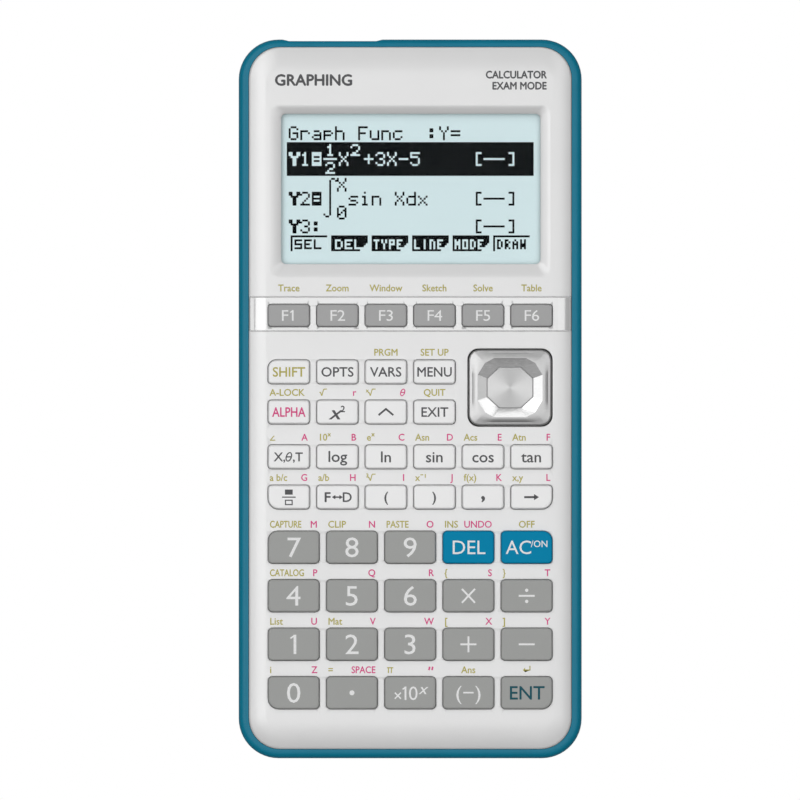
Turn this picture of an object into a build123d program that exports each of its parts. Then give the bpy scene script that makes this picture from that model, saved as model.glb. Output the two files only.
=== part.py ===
from build123d import *

import math
import os
from typing import NamedTuple

# Graphing calculator. Millimetres. X runs across the face to the right, Y along the face towards the
# display end, Z out of the key face. The origin is the centre of the back, on the surface that the
# calculator lies on.

# ---------------------------------------------------------------- driving dimensions
BODY_WIDTH = 83.5
BODY_LENGTH = 175.0
TOTAL_HEIGHT = 18.4  # back to the tops of the keys
BODY_CORNER = 9.7

# case
RIM_TOP = 15.9  # where the rear case ends, around the face
RIM_SIDE = 2.4  # width of the rim beside the face
RIM_DISPLAY_END = 1.8
RIM_KEY_END = 2.2
RIM_ROUND = 1.7
BASE_ROUND = 2.4
FLOOR = 2.0
FIT = 0.1  # gap between the face and the rim

# face
FACE_TOP = 17.2
FACE_EDGE = 16.0  # height that the face rolls down to
FACE_UNDERSIDE = 15.5
FACE_CORNER = 7.6
ROLL_WIDTH = 5.3
ROLL_RADIUS = 18.0  # where the slope meets the flat middle
SKIRT_WALL = 1.2
SKIRT_BOTTOM = 11.5
GROOVE_WIDTH = 0.35
GROOVE_DEPTH = 0.3
BAND_GROOVES = (24.8, 16.5)

# display
WINDOW_X, WINDOW_Y = 0.15, 51.1
OPENING_WIDTH, OPENING_LENGTH, OPENING_CORNER = 63.1, 36.6, 1.2
RECESS_LEFT, RECESS_RIGHT = -34.0, 34.1
RECESS_LOW, RECESS_HIGH = 29.6, 71.5
RECESS_CORNER = 2.0
RECESS_FLOOR = 16.3
WINDOW_WIDTH, WINDOW_LENGTH = 66.4, 39.9
WINDOW_BOTTOM, WINDOW_TOP = 15.0, 16.0
LCD_WIDTH, LCD_LENGTH = 65.0, 38.4
LCD_BOTTOM, LCD_TOP = 13.4, 14.8

# keys
KEY_BOTTOM = 14.6
KEY_FLANGE = 0.6
KEY_FLANGE_TOP = 15.25
KEY_EDGE = 0.4
KEY_GAP = 0.25
WIDE_PITCH = 14.17  # five keys across
NARROW_PITCH = 11.81  # six keys across
F_KEY = (10.2, 5.5)
FUNCTION_KEY = (10.15, 5.85)
NUMBER_KEY = (12.5, 7.95)
PLAIN_CORNER = 0.9
NUMBER_CORNER = 1.1
DOME_RADIUS = 2.3

# cursor pad
PAD_X, PAD_Y = 24.3, 2.75
PAD_WIDTH, PAD_LENGTH, PAD_CORNER = 20.5, 18.8, 2.6
PAD_BOTTOM = 15.0
PAD_TOP = 18.3
DISH_DEPTH = 0.9
PAD_GAP = 0.3
PIVOT_Z = 14.6
PIVOT_RADIUS = 1.8
HUB_RADIUS = 2.2

# circuit board and key mat
BOARD_BOTTOM, BOARD_TOP = 10.6, 12.2
BOARD_LOW, BOARD_HIGH, BOARD_HALF_WIDTH = -77.3, 83.6, 37.4
MAT_TOP = 12.9

# battery bay
CELL_RADIUS, CELL_LENGTH, CELL_PITCH, CELL_COUNT = 5.25, 44.5, 11.2, 4
NUB_RADIUS, NUB_LENGTH = 1.9, 1.2
CELL_Z = 7.3
BAY_HALF_WIDTH = 22.4
BAY_LOW, BAY_HIGH = 26.6, 76.1
BAY_WALL = 1.2
BAY_CEILING = 12.6
COVER_MARGIN = 1.5  # how far the cover runs past the bay on each side
COVER_THICKNESS = 1.1
COVER_GAP = 0.2
REBATE_DEPTH = 1.2
COVER_HINGE_Y, COVER_HINGE_Z = 77.8, 0.4
COVER_CORNER = 1.5
TAB_X, TAB_WIDTH, TAB_REACH = 14.0, 8.0, 1.6

# screws
SCREWS = [(x * side, y) for x, y in ((33.0, -80.6), (35.6, 27.2), (35.6, 79.5)) for side in (-1, 1)]
BOSS_RADIUS = 3.1
FRONT_BOSS_RADIUS = 2.4
BOSS_TOP = 11.0
HEAD_RADIUS, HEAD_SEAT, HEAD_HEIGHT = 1.9, 7.0, 1.4
SHANK_RADIUS, SHANK_TOP = 0.9, 14.0

# sockets in the display end
DIP_LEFT, DIP_RIGHT, DIP_DEPTH, DIP_EASE = -29.5, -8.3, 0.4, 1.6
USB_X, USB_WIDTH, USB_HEIGHT, USB_DEPTH = -24.5, 7.7, 3.9, 9.0
USB_MOUTH = (6.9, 3.1)
JACK_X, JACK_BORE, JACK_COLLAR, JACK_DEPTH = -13.5, 1.27, 2.4, 8.0
SOCKET_FACE = BODY_LENGTH / 2 - DIP_DEPTH - 0.3

# restart button
RESTART_X, RESTART_Y = 28.0, -8.0
RESTART_RADIUS = 1.3

# groove along each side for a slide-on cover
RAIL_Z, RAIL_HEIGHT, RAIL_DEPTH, RAIL_LENGTH = 6.6, 1.6, 0.8, 158.0


class Key(NamedTuple):
    name: str
    x: float
    y: float
    width: float
    length: float
    corners: tuple  # lower left, lower right, upper right, upper left


def row_of_keys(names, y, size, pitch, corner, columns, big=None):
    """One row, left to right. big maps a key's name to (corner index, radius) of its one large corner."""
    keys = []
    for column, name in enumerate(names):
        corners = [corner] * 4
        if big and name in big:
            index, radius = big[name]
            corners[index] = radius
        x = (column - (columns - 1) / 2) * pitch
        keys.append(Key(f"key_{name}", x, y, *size, tuple(corners)))
    return keys


def all_keys():
    lower_left, lower_right, upper_right, upper_left = range(4)
    narrow = (
        (["f1", "f2", "f3", "f4", "f5", "f6"], 20.3, F_KEY, {}),
        (["shift", "options", "variables", "menu"], 6.57, FUNCTION_KEY, {"shift": (upper_left, 2.0)}),
        (["alpha", "square", "power", "exit"], -3.2, FUNCTION_KEY, {}),
        (["x_theta_t", "log", "ln", "sin", "cos", "tan"], -14.1, FUNCTION_KEY, {}),
        (
            ["fraction", "convert", "open_bracket", "close_bracket", "comma", "store"],
            -23.9,
            FUNCTION_KEY,
            {"fraction": (lower_left, 2.6), "store": (lower_right, 2.6)},
        ),
    )
    wide = (
        (["7", "8", "9", "delete", "clear"], -36.1, {"7": (upper_left, 2.4), "clear": (upper_right, 2.3)}),
        (["4", "5", "6", "multiply", "divide"], -47.9, {}),
        (["1", "2", "3", "plus", "minus"], -59.7, {}),
        (
            ["0", "point", "exponent", "negative", "enter"],
            -71.5,
            {"0": (lower_left, 2.6), "enter": (lower_right, 2.6)},
        ),
    )
    keys = []
    for names, y, size, big in narrow:
        keys += row_of_keys(names, y, size, NARROW_PITCH, PLAIN_CORNER, 6, big)
    for names, y, big in wide:
        keys += row_of_keys(names, y, NUMBER_KEY, WIDE_PITCH, NUMBER_CORNER, 5, big)
    return keys


KEYS = all_keys()


# ---------------------------------------------------------------- shapes used more than once
def outline(width, length, corners, margin=0.0):
    """Rectangle about the origin, grown by margin, with its own radius at each corner."""
    x, y = width / 2 + margin, length / 2 + margin
    if isinstance(corners, (int, float)):
        corners = (corners,) * 4
    radii = [radius + margin for radius in corners]
    path = FilletPolyline((-x, -y), (x, -y), (x, y), (-x, y), radius=radii, close=True)
    return make_face(path.edges())


def slab(face, low, high):
    """The face, drawn at height 0, made solid from low to high."""
    return Pos(0, 0, low) * extrude(face, amount=high - low, dir=(0, 0, 1))


def block(x0, x1, y0, y1, z0, z1):
    """Box between two corners."""
    centre = Pos((x0 + x1) / 2, (y0 + y1) / 2, (z0 + z1) / 2)
    return centre * Box(x1 - x0, y1 - y0, z1 - z0)


def post(x, y, radius, low, high):
    """Upright cylinder."""
    return Pos(x, y, (low + high) / 2) * Cylinder(radius, high - low)


def lying(radius, x, y0, y1, z):
    """Cylinder along Y."""
    return Pos(x, (y0 + y1) / 2, z) * Rot(90, 0, 0) * Cylinder(radius, y1 - y0)


def inside_rim(margin=0.0):
    """Plan of the space inside the rim."""
    width = BODY_WIDTH - 2 * RIM_SIDE
    length = BODY_LENGTH - RIM_DISPLAY_END - RIM_KEY_END
    shift = (RIM_KEY_END - RIM_DISPLAY_END) / 2
    return Pos(0, shift) * outline(width, length, FACE_CORNER + FIT, margin)


# ---------------------------------------------------------------- front case
def crowned_plate():
    """Face plate whose top slopes gently down to its edge on all sides."""
    plate = slab(inside_rim(-FIT), FACE_UNDERSIDE, FACE_TOP)
    top = plate.faces().sort_by(Axis.Z)[-1]
    plate = chamfer(top.edges(), ROLL_WIDTH, FACE_TOP - FACE_EDGE, reference=top)
    return fillet(plate.faces().sort_by(Axis.Z)[-1].edges(), ROLL_RADIUS)


def display_recess():
    """Bevelled frame that narrows down to the display opening, with the opening through the plate."""
    width, length = RECESS_RIGHT - RECESS_LEFT, RECESS_HIGH - RECESS_LOW
    centre = Pos((RECESS_LEFT + RECESS_RIGHT) / 2, (RECESS_LOW + RECESS_HIGH) / 2)
    rim = centre * outline(width, length, RECESS_CORNER)
    opening = Pos(WINDOW_X, WINDOW_Y) * outline(OPENING_WIDTH, OPENING_LENGTH, OPENING_CORNER)
    bevel = loft([Pos(0, 0, RECESS_FLOOR) * opening, Pos(0, 0, FACE_TOP) * rim], ruled=True)
    return bevel + slab(rim, FACE_TOP, FACE_TOP + 1) + slab(opening, FACE_UNDERSIDE - 1, RECESS_FLOOR)


def front_case():
    plate = crowned_plate()
    for y in BAND_GROOVES:
        strip = block(-BODY_WIDTH, BODY_WIDTH, y - GROOVE_WIDTH / 2, y + GROOVE_WIDTH / 2, 0, FACE_TOP)
        plate -= (plate & strip) - Pos(0, 0, -GROOVE_DEPTH) * (plate & strip)
    skirt = slab(inside_rim(-FIT), SKIRT_BOTTOM, FACE_EDGE - 0.3)
    skirt -= slab(inside_rim(-FIT - SKIRT_WALL), SKIRT_BOTTOM, FACE_EDGE)
    case = plate + skirt
    for y, right in ((-29.75, 37.5), (14.0, 37.5)):
        case += block(-37.5, right, y - 0.5, y + 0.5, MAT_TOP, FACE_UNDERSIDE)
    for x, y in SCREWS:
        case += post(x, y, FRONT_BOSS_RADIUS, BOSS_TOP, FACE_UNDERSIDE)
        case -= post(x, y, SHANK_RADIUS, BOSS_TOP, SHANK_TOP + 0.5)
    case -= display_recess()
    window_seat = Pos(WINDOW_X, WINDOW_Y) * outline(WINDOW_WIDTH, WINDOW_LENGTH, OPENING_CORNER, FIT)
    case -= slab(window_seat, WINDOW_BOTTOM, WINDOW_TOP)
    for key in KEYS:
        hole = Pos(key.x, key.y) * outline(key.width, key.length, key.corners, KEY_GAP)
        case -= slab(hole, FACE_UNDERSIDE - 0.5, FACE_TOP + 1)
    pad_hole = Pos(PAD_X, PAD_Y) * outline(PAD_WIDTH, PAD_LENGTH, PAD_CORNER, PAD_GAP)
    case -= slab(pad_hole, FACE_UNDERSIDE - 0.5, FACE_TOP + 1)
    return case


# ---------------------------------------------------------------- rear case
def rear_shell():
    """Tray with rounded rim and base edges, hollow inside the rim."""
    shell = slab(outline(BODY_WIDTH, BODY_LENGTH, BODY_CORNER), 0, RIM_TOP)
    by_height = shell.faces().sort_by(Axis.Z)
    shell = fillet(by_height[-1].edges(), RIM_ROUND)
    shell = fillet(shell.faces().sort_by(Axis.Z)[0].edges(), BASE_ROUND)
    return shell - slab(inside_rim(), FLOOR, RIM_TOP + 1)


def connector_dip():
    """Shallow dip in the display end, eased at both ends, where the sockets are."""
    edge = BODY_LENGTH / 2
    points = [
        (DIP_LEFT - DIP_EASE, edge),
        (DIP_LEFT, edge - DIP_DEPTH),
        (DIP_RIGHT, edge - DIP_DEPTH),
        (DIP_RIGHT + DIP_EASE, edge),
        (DIP_RIGHT + DIP_EASE, edge + 1),
        (DIP_LEFT - DIP_EASE, edge + 1),
    ]
    return slab(make_face(Polyline(*points, close=True)), 0, RIM_TOP)


def cover_outline(margin=0.0):
    """Plan of the battery cover."""
    width = 2 * (BAY_HALF_WIDTH + COVER_MARGIN)
    length = BAY_HIGH - BAY_LOW + 2 * COVER_MARGIN
    return Pos(0, (BAY_LOW + BAY_HIGH) / 2) * outline(width, length, COVER_CORNER, margin)


def battery_bay(case):
    """Adds the bay's walls, ceiling and ribs, and cuts its mouth, the cover's seat and the tab slots."""
    half, low, high = BAY_HALF_WIDTH, BAY_LOW, BAY_HIGH
    case += block(-half - BAY_WALL, half + BAY_WALL, low - BAY_WALL, high + BAY_WALL, FLOOR, LCD_BOTTOM)
    case -= block(-half, half, low, high, -1, BAY_CEILING)
    case -= slab(cover_outline(COVER_GAP), -1, REBATE_DEPTH)
    for gap in range(1, CELL_COUNT):
        x = (gap - CELL_COUNT / 2) * CELL_PITCH
        case += block(x - 0.55, x + 0.55, low, high, 9.6, BAY_CEILING)
    for side in (-1, 1):
        x = side * TAB_X
        slot_half = TAB_WIDTH / 2 + 0.4
        case -= block(x - slot_half, x + slot_half, COVER_HINGE_Y - 0.3, COVER_HINGE_Y + 2.1, 0.4, FLOOR)
        case -= block(x - slot_half, x + slot_half, COVER_HINGE_Y - 0.3, COVER_HINGE_Y + 0.4, -1, FLOOR)
    notch_y = BAY_LOW - COVER_MARGIN
    case -= post(0, notch_y, 6.5, -1, REBATE_DEPTH)
    return case


def rear_case():
    case = rear_shell() - connector_dip()
    for side in (-1, 1):
        edge = side * BODY_WIDTH / 2
        inner, outer = sorted((edge - side * RAIL_DEPTH, edge + side))
        half = RAIL_LENGTH / 2
        case -= block(inner, outer, -half, half, RAIL_Z - RAIL_HEIGHT / 2, RAIL_Z + RAIL_HEIGHT / 2)
    case = battery_bay(case)
    for x, y in SCREWS:
        case += post(x, y, BOSS_RADIUS, FLOOR - 0.5, BOSS_TOP)
        case -= post(x, y, HEAD_RADIUS + 0.2, -1, HEAD_SEAT)
        case -= post(x, y, SHANK_RADIUS + 0.2, HEAD_SEAT, BOSS_TOP + 1)
    for x, y in ((-20, -62), (20, -62), (0, -30), (-26, -12), (-20, 12), (20, 12)):
        case += post(x, y, 1.6, FLOOR - 0.5, BOARD_BOTTOM)
    case += post(RESTART_X, RESTART_Y, 3.4, FLOOR - 0.5, 8.0)
    case -= post(RESTART_X, RESTART_Y, 2.5, FLOOR, 8.5)
    case -= post(RESTART_X, RESTART_Y, RESTART_RADIUS + 0.25, -1, FLOOR + 1)
    wall = BODY_LENGTH / 2 - RIM_DISPLAY_END - 0.5
    usb_z, jack_z = BOARD_BOTTOM - USB_HEIGHT / 2, BOARD_BOTTOM - JACK_COLLAR - 0.1
    half = USB_WIDTH / 2 + 0.2
    low, high = usb_z - USB_HEIGHT / 2 - 0.2, usb_z + USB_HEIGHT / 2 + 0.2
    case -= block(USB_X - half, USB_X + half, wall, BODY_LENGTH / 2 + 1, low, high)
    case -= lying(JACK_COLLAR + 0.2, JACK_X, wall, BODY_LENGTH / 2 + 1, jack_z)
    return case


def battery_cover():
    """Snap-in door on two tabs at the display end, bevelled there to swing clear, with a lip at the other end."""
    plate = slab(cover_outline(), 0, COVER_THICKNESS)
    plate = fillet(plate.faces().sort_by(Axis.Z)[0].edges(), 0.3)
    end = BAY_HIGH + COVER_MARGIN
    bevel = make_face(Polyline((end - 0.6, -0.1), (end + 0.1, -0.1), (end + 0.1, 0.45), (end, 0.45), close=True))
    plate -= extrude(Plane.YZ * bevel, BODY_WIDTH / 2, both=True)
    for gap in range(0, CELL_COUNT + 1):
        x = (gap - CELL_COUNT / 2) * CELL_PITCH
        if abs(x) < BAY_HALF_WIDTH - 1:
            plate += block(x - 0.5, x + 0.5, BAY_LOW + 4, BAY_HIGH - 4, COVER_THICKNESS, 2.6)
    for side in (-1, 1):
        x = side * TAB_X
        reach = COVER_HINGE_Y + TAB_REACH
        plate += block(x - TAB_WIDTH / 2, x + TAB_WIDTH / 2, BAY_HIGH, reach, 0.5, COVER_THICKNESS)
    lip_y = BAY_LOW - COVER_MARGIN
    plate += block(-4, 4, lip_y - 1.0, lip_y + 1, 0.4, COVER_THICKNESS)
    for step in range(5):
        y = lip_y + 3 + 1.2 * step
        plate -= block(-5, 5, y, y + 0.5, -0.1, 0.25)
    return plate


# ---------------------------------------------------------------- keys
def key_cap(key):
    """Cap with softened top edges on a flange that keeps it under the face."""
    cap = slab(outline(key.width, key.length, key.corners), KEY_BOTTOM, TOTAL_HEIGHT)
    cap = fillet(cap.faces().sort_by(Axis.Z)[-1].edges(), KEY_EDGE)
    flange = slab(outline(key.width, key.length, key.corners, KEY_FLANGE), KEY_BOTTOM, KEY_FLANGE_TOP)
    return Pos(key.x, key.y) * (cap + flange)


def many_sided(*quarter):
    """Polygon given by its corners in the first quarter, from the top side round to the right side."""
    right = list(quarter) + [(x, -y) for x, y in reversed(quarter)]
    corners = right + [(-x, y) for x, y in reversed(right)]
    return make_face(Polyline(*corners, close=True))


def cursor_pad():
    """Rocking plate with a shallow dish whose facets fall from twelve sides to an eight-sided floor."""
    pad = slab(outline(PAD_WIDTH, PAD_LENGTH, PAD_CORNER), PAD_BOTTOM, PAD_TOP)
    pad = fillet(pad.faces().sort_by(Axis.Z)[-1].edges(), 0.6)
    mouth = many_sided((3.85, 7.2), (6.1, 6.0), (7.9, 3.1))
    floor = many_sided((2.7, 5.05), (4.2, 3.7), (5.7, 2.3))
    pad -= loft([Pos(0, 0, PAD_TOP - DISH_DEPTH) * floor, Pos(0, 0, PAD_TOP) * mouth], ruled=True)
    pad -= Pos(0, 0, PIVOT_Z) * Sphere(PIVOT_RADIUS + 0.1)
    return Pos(PAD_X, PAD_Y) * pad


def cursor_pad_hub():
    """Rubber boss that carries the pad: a foot on the key mat and a ball that the pad rocks on."""
    ball = Pos(0, 0, PIVOT_Z) * Sphere(PIVOT_RADIUS)
    foot = post(0, 0, HUB_RADIUS, MAT_TOP, MAT_TOP + 0.9)
    return Pos(PAD_X, PAD_Y) * (foot + (ball - block(-5, 5, -5, 5, 0, MAT_TOP)))


# ---------------------------------------------------------------- inside
def board_notches(radius, low, high):
    """Round clearances around the screw bosses."""
    notches = [post(x, y, radius, low, high) for x, y in SCREWS]
    return notches[0] + notches[1:]


def main_board():
    """Ring-shaped board around the battery bay, with its processor, memory and restart switch below."""
    low, high = BOARD_BOTTOM, BOARD_TOP
    board = block(-BOARD_HALF_WIDTH, BOARD_HALF_WIDTH, BOARD_LOW, BOARD_HIGH, low, high)
    board = fillet(board.edges().filter_by(Axis.Z), 6)
    bay_x, bay_low, bay_high = BAY_HALF_WIDTH + BAY_WALL + 0.4, BAY_LOW - BAY_WALL - 0.4, BAY_HIGH + BAY_WALL + 0.4
    board -= block(-bay_x, bay_x, bay_low, bay_high, low - 1, high + 1)
    board -= board_notches(BOSS_RADIUS + 0.3, low - 1, high + 1)
    for x, y, width, length, drop in ((0, -48, 14, 14, 1.2), (-14, -20, 12, 8, 1.1), (16, -30, 6, 6, 1.0)):
        board += block(x - width / 2, x + width / 2, y - length / 2, y + length / 2, low - drop, low)
    board += block(RESTART_X - 1.6, RESTART_X + 1.6, RESTART_Y - 1.6, RESTART_Y + 1.6, low - 0.8, low)
    return board


def key_mat():
    """Rubber sheet with one dome under each key and four under the cursor pad."""
    mat = block(-36.8, 36.8, -76.6, 23.75, BOARD_TOP, MAT_TOP)
    mat = fillet(mat.edges().filter_by(Axis.Z), 4)
    domes = [post(key.x, key.y, DOME_RADIUS, MAT_TOP, KEY_BOTTOM) for key in KEYS]
    for dx, dy in ((7, 0), (-7, 0), (0, 6.4), (0, -6.4)):
        domes.append(post(PAD_X + dx, PAD_Y + dy, 1.6, MAT_TOP, PAD_BOTTOM - 0.2))
    return mat + domes


def lcd_module():
    """Display glass on its backing, with the two elastomer strips that join it to the board."""
    glass = Pos(WINDOW_X, WINDOW_Y) * outline(LCD_WIDTH, LCD_LENGTH, 0.6)
    module = slab(glass, LCD_BOTTOM, LCD_TOP)
    for side in (-1, 1):
        inner, outer = sorted((side * 26.0, side * 31.5))
        module += block(inner, outer, 36, 66, BOARD_TOP, LCD_BOTTOM)
    return module


def display_window():
    return slab(Pos(WINDOW_X, WINDOW_Y) * outline(WINDOW_WIDTH, WINDOW_LENGTH, OPENING_CORNER), WINDOW_BOTTOM, WINDOW_TOP)


def cell_places():
    """Each cell's X, and +1 where its nub points to the display end, -1 where it points away."""
    return [((i - (CELL_COUNT - 1) / 2) * CELL_PITCH, 1 if i % 2 else -1) for i in range(CELL_COUNT)]


def batteries():
    """Four AAA cells side by side, every other one turned round."""
    cells = []
    for x, way in cell_places():
        nub_end = BAY_HIGH - 0.4 if way > 0 else BAY_LOW + 0.4
        shoulder = nub_end - way * NUB_LENGTH
        base = nub_end - way * CELL_LENGTH
        can = lying(CELL_RADIUS, x, min(shoulder, base), max(shoulder, base), CELL_Z)
        can = fillet(can.edges().filter_by(GeomType.CIRCLE), 0.5)
        nub = lying(NUB_RADIUS, x, min(nub_end, shoulder), max(nub_end, shoulder), CELL_Z)
        cells.append(can + nub)
    return Compound(children=cells)


def battery_contacts():
    """A flat plate at each cell's nub and a coil spring at its base."""
    contacts = []
    turns = 3
    for x, way in cell_places():
        nub_wall = BAY_HIGH if way > 0 else BAY_LOW
        y0, y1 = sorted((nub_wall, nub_wall - way * 0.4))
        contacts.append(block(x - 3.5, x + 3.5, y0, y1, 3.6, 11.4))
        wall = BAY_LOW if way > 0 else BAY_HIGH
        y0, y1 = sorted((wall, wall + way * 0.4))
        contacts.append(block(x - 3.5, x + 3.5, y0, y1, 3.6, 11.4))
        reach = BAY_HIGH - BAY_LOW - CELL_LENGTH - 0.8
        wire = 0.35
        coil = Helix(pitch=(reach - 2 * wire) / turns, height=reach - 2 * wire, radius=2.6)
        section = Plane(origin=coil @ 0, z_dir=coil % 0) * Circle(wire)
        spring = sweep(section, path=coil, is_frenet=True)
        turned = Pos(x, wall + way * (0.4 + wire), CELL_Z) * Rot(-90 * way, 0, 0) * spring
        contacts.append(turned)
    return Compound(children=contacts)


def case_screws():
    """Six self-tapping screws with a cross recess, all alike."""
    screws = []
    for x, y in SCREWS:
        screw = post(x, y, HEAD_RADIUS, HEAD_SEAT - HEAD_HEIGHT, HEAD_SEAT)
        screw = fillet(screw.edges().group_by(Axis.Z)[0], 0.3)
        screw += post(x, y, SHANK_RADIUS, HEAD_SEAT, SHANK_TOP)
        bottom = HEAD_SEAT - HEAD_HEIGHT
        for arm in ((1.1, 0.25), (0.25, 1.1)):
            screw -= block(x - arm[0], x + arm[0], y - arm[1], y + arm[1], bottom - 0.1, bottom + 0.8)
        screws.append(screw)
    return Compound(children=screws)


def port_sockets():
    """USB socket and cable jack, both under the board's display-end strip."""
    usb_z = BOARD_BOTTOM - USB_HEIGHT / 2
    back = SOCKET_FACE - USB_DEPTH
    usb = block(USB_X - USB_WIDTH / 2, USB_X + USB_WIDTH / 2, back, SOCKET_FACE, usb_z - USB_HEIGHT / 2, BOARD_BOTTOM)
    width, height = USB_MOUTH
    mouth = (USB_X - width / 2, USB_X + width / 2, back + 1.5, SOCKET_FACE + 1, usb_z - height / 2, usb_z + height / 2)
    usb -= block(*mouth)
    usb += block(USB_X - 2.4, USB_X + 2.4, back + 1.0, SOCKET_FACE - 1.2, usb_z - 0.1, usb_z + 0.7)
    jack_z = BOARD_BOTTOM - JACK_COLLAR - 0.1
    inner_wall = BODY_LENGTH / 2 - RIM_DISPLAY_END - 0.3
    jack = block(JACK_X - 3, JACK_X + 3, back, inner_wall, jack_z - JACK_COLLAR - 0.1, BOARD_BOTTOM)
    jack += lying(JACK_COLLAR, JACK_X, inner_wall - 1, SOCKET_FACE, jack_z)
    jack -= lying(JACK_BORE, JACK_X, SOCKET_FACE - JACK_DEPTH, SOCKET_FACE + 1, jack_z)
    return Compound(children=[usb, jack])


def restart_button():
    """Recessed pin in the back, with a collar that keeps it in and a tip under the board's switch."""
    pin = post(RESTART_X, RESTART_Y, RESTART_RADIUS, 0.6, 9.3)
    return pin + post(RESTART_X, RESTART_Y, 2.2, FLOOR + 0.2, FLOOR + 1.0)


# ---------------------------------------------------------------- output
def main():
    nodes = {
        "front_case": front_case(),
        "rear_case": rear_case(),
        "battery_cover": battery_cover(),
        "display_window": display_window(),
        "lcd_module": lcd_module(),
        "main_board": main_board(),
        "key_mat": key_mat(),
        "batteries": batteries(),
        "battery_contacts": battery_contacts(),
        "case_screws": case_screws(),
        "port_sockets": port_sockets(),
        "restart_button": restart_button(),
        "cursor_pad": cursor_pad(),
        "cursor_pad_hub": cursor_pad_hub(),
    }
    for key in KEYS:
        nodes[key.name] = key_cap(key)
    os.makedirs("parts", exist_ok=True)
    for name, shape in nodes.items():
        export_step(shape, f"parts/{name}.step")


main()
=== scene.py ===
import math

import bpy
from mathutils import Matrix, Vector, geometry


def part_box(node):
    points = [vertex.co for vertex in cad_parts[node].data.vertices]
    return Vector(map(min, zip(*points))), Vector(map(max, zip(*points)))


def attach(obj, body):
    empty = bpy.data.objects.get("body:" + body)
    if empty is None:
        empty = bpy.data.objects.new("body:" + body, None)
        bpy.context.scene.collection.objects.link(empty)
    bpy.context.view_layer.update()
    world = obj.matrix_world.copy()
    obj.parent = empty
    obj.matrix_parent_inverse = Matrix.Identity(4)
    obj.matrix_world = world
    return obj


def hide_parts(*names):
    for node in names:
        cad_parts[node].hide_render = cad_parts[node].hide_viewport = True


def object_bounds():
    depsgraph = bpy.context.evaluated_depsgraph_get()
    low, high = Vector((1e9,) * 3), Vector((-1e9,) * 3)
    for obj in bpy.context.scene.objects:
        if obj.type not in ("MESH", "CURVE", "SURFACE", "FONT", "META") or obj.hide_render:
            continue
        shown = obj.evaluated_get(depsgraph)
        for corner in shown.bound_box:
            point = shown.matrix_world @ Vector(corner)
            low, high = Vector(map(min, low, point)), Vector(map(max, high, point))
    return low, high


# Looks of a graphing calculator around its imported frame. Lengths are in millimetres until a piece is
# made, and every piece sits where its CAD node is.

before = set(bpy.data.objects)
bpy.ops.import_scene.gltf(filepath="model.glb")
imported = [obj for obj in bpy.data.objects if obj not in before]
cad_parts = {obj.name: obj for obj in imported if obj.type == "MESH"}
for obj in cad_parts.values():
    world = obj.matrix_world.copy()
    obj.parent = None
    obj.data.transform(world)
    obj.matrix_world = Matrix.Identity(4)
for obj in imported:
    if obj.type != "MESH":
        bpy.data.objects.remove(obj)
cad_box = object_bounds()

MM = 0.001
KEY_FLANGE = 0.6  # how far a key's hidden flange stands out past its cap
KEY_GAP = 0.09
TIGHT_KEY_GAP = 0.045  # around the grey and blue keys
PAD_GAP = 0.07  # from the CAD pad to the edge of its opening in the face
PAD_INSET = 0.15  # room that lets the pad rock
PRINT_LIFT = 0.012
INK_HALF = 0.006  # half the thickness of a print
CAPITAL = 0.686  # height of a capital letter in text of size 1
STROKE_STEP = 0.0012  # strokes that cross lie this much above one another
FACE_CORNER = 7.6
FACE_EDGE = 16.0  # height that the face rolls down to
FACE_UNDERSIDE = 15.5


def node_box(node):
    """Lowest and highest corner of a CAD node, in millimetres."""
    low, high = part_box(node)
    return Vector(low) / MM, Vector(high) / MM


# ------------------------------------------------------------------------------- materials
def srgb(red, green, blue):
    """Colour as shown on a screen, 0 to 255, turned into linear light."""

    def linear(value):
        value /= 255
        return value / 12.92 if value <= 0.04045 else ((value + 0.055) / 1.055) ** 2.4

    return (linear(red), linear(green), linear(blue), 1.0)


def even_grey(level):
    return (level, level, level, 1.0)


def feed(tree, node, inputs):
    """Gives each of these inputs of a node a value, or another node's output."""
    for place, value in inputs.items():
        if isinstance(value, bpy.types.NodeSocket):
            tree.links.new(value, node.inputs[place])
        else:
            node.inputs[place].default_value = value


def add(tree, kind, inputs=None):
    node = tree.nodes.new("ShaderNode" + kind)
    feed(tree, node, inputs or {})
    return node


def start_material(name):
    material = bpy.data.materials.new(name)
    material.use_nodes = True
    return material, material.node_tree, material.node_tree.nodes["Principled BSDF"]


def noise(tree, scale, detail=2.0, stretch=None):
    """Noise over the object's own coordinates; scale is in cycles per metre."""
    source = add(tree, "TexCoord").outputs["Object"]
    if stretch:
        source = add(tree, "Mapping", {"Scale": stretch, "Vector": source}).outputs["Vector"]
    return add(tree, "TexNoise", {"Scale": scale, "Detail": detail, "Vector": source}).outputs["Fac"]


def ramp(tree, value, stops, blend="LINEAR"):
    """Colour ramp; stops are (position, colour)."""
    node = add(tree, "ValToRGB", {"Fac": value})
    node.color_ramp.interpolation = blend
    elements = node.color_ramp.elements
    while len(elements) > 1:
        elements.remove(elements[-1])
    elements[0].position, elements[0].color = stops[0]
    for position, colour in stops[1:]:
        elements.new(position).color = colour
    return node.outputs["Color"]


def spread(tree, value, low, high):
    """Maps a 0 to 1 value onto low to high."""
    return add(tree, "MapRange", {"Value": value, "To Min": low, "To Max": high}).outputs["Result"]


def bump(tree, height, strength, distance):
    inputs = {"Height": height, "Strength": strength, "Distance": distance}
    return add(tree, "Bump", inputs).outputs["Normal"]


def tint(colour, factor):
    return tuple(min(1.0, channel * factor) for channel in colour[:3]) + (1.0,)


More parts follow.
